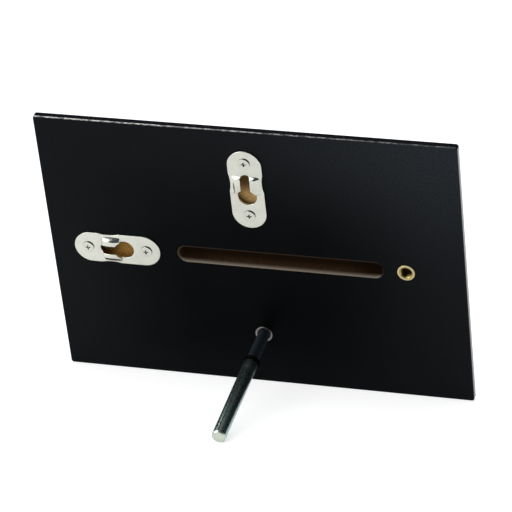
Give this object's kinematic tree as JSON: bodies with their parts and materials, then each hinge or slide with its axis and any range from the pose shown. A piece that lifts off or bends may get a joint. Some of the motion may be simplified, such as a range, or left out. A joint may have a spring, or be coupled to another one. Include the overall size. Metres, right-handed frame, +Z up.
{
  "type": "photo panel with screw-in stand rod",
  "caption": "Thin black-backed photo panel that stands leaning on a screw-in steel rod, with keyhole hangers, thread inserts and a storage groove in its back.",
  "frame": {"origin": "middle of the whole part's box, on the table that it stands on", "axes": "+X across the panel, +Z up, +Y from the picture towards the stand rod behind the panel"},
  "size_m": [0.1778, 0.077, 0.1217],
  "materials": {
    "hardboard": "cut fibreboard, black on its outer edges",
    "black_laminate": "satin black film",
    "print_face": "gloss white print face",
    "brass": "machined brass",
    "rod_steel": "bright turned steel",
    "rubber": "black rubber",
    "nickel_plate": "nickel-plated pressed steel",
    "nickel_screw": "nickel-plated steel"
  },
  "bodies": {
    "panel": {"core_board": "hardboard", "back_laminate": "black_laminate", "picture_sheet": "print_face", "lower_thread_insert": "brass", "side_thread_insert": "brass", "top_keyhole_hanger": "nickel_plate", "side_keyhole_hanger": "nickel_plate", "top_hanger_outer_screw": "nickel_screw", "top_hanger_inner_screw": "nickel_screw", "side_hanger_outer_screw": "nickel_screw", "side_hanger_inner_screw": "nickel_screw"},
    "rod_ring": {"rod_ring": "rubber"},
    "stand_rod": {"stand_rod": "rod_steel"}
  },
  "joints": [
    {"name": "rod_advance", "type": "slide", "parent": "panel", "child": "rod_ring", "axis": [0, 0.9526, -0.3044], "range_m": [0, 0.0032]},
    {"name": "rod_unscrew", "type": "hinge", "parent": "rod_ring", "child": "stand_rod", "pos_m": [0, -0.02797, 0.02371], "axis": [0, 0.9526, -0.3044], "range_deg": [0, 1440]}
  ],
  "couplings": [
    {"joint": "rod_unscrew", "follows": "rod_advance", "rad_per_m": 7854}
  ]
}
